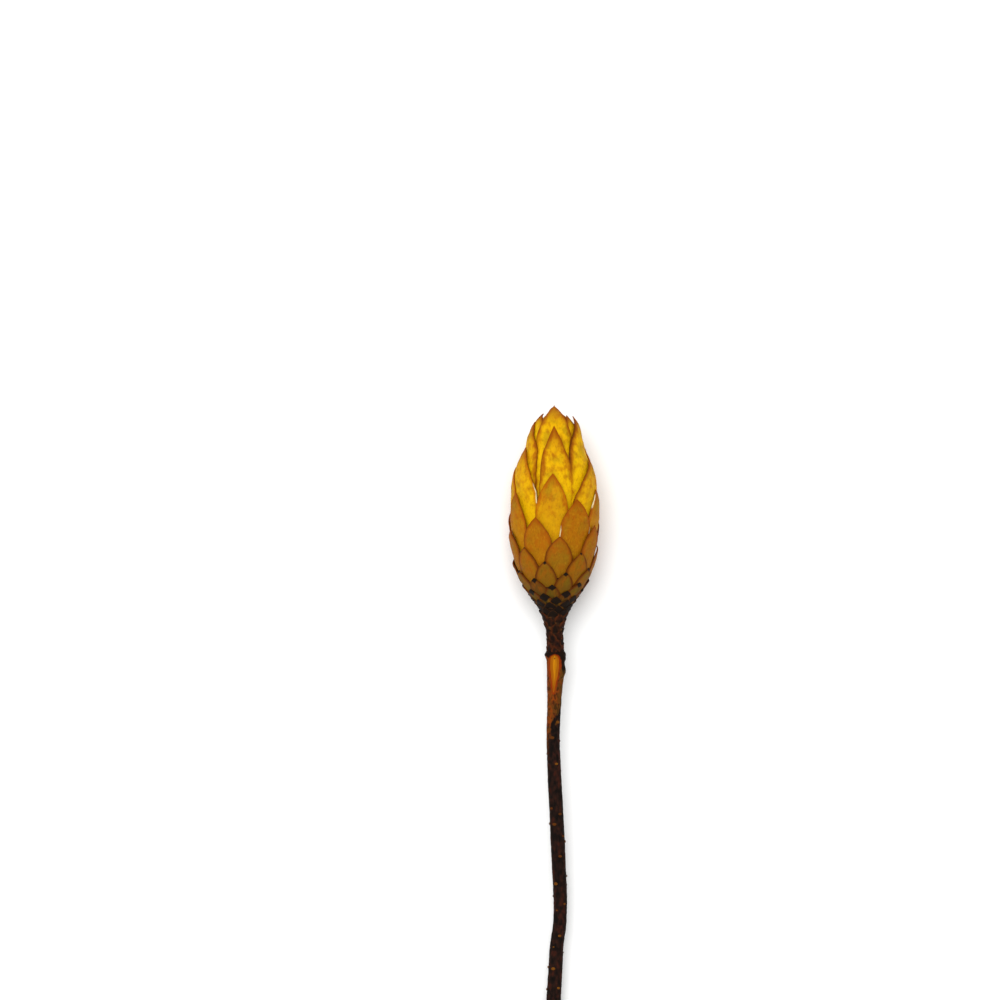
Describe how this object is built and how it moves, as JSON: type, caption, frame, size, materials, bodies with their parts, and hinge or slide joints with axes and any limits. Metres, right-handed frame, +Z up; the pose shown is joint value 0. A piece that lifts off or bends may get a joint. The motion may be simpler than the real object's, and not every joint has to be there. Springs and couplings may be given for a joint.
{
  "type": "sugarbush protea",
  "caption": "Dried sugarbush protea: a closed cone-shaped head of golden bracts on a dark scaly neck and a bare woody stem, lying on its side.",
  "frame": {"origin": "on the table under the middle of the flower's length, below its axis", "axes": "+Y along the flower towards the tip of the head, +Z up from the table it lies on, +X to the right when the head points away"},
  "size_m": [0.0432, 0.3521, 0.0435],
  "materials": {
    "golden_bract": "dry leathery bracts, golden yellow towards the top and brown towards the foot, satin",
    "dark_scale": "dry dark brown scales, matt",
    "brown_bark": "dark brown bark with paler lenticels, matt"
  },
  "bodies": {
    "root": {"bloom": "golden_bract", "neck": "dark_scale", "stem": "brown_bark"}
  },
  "joints": []
}
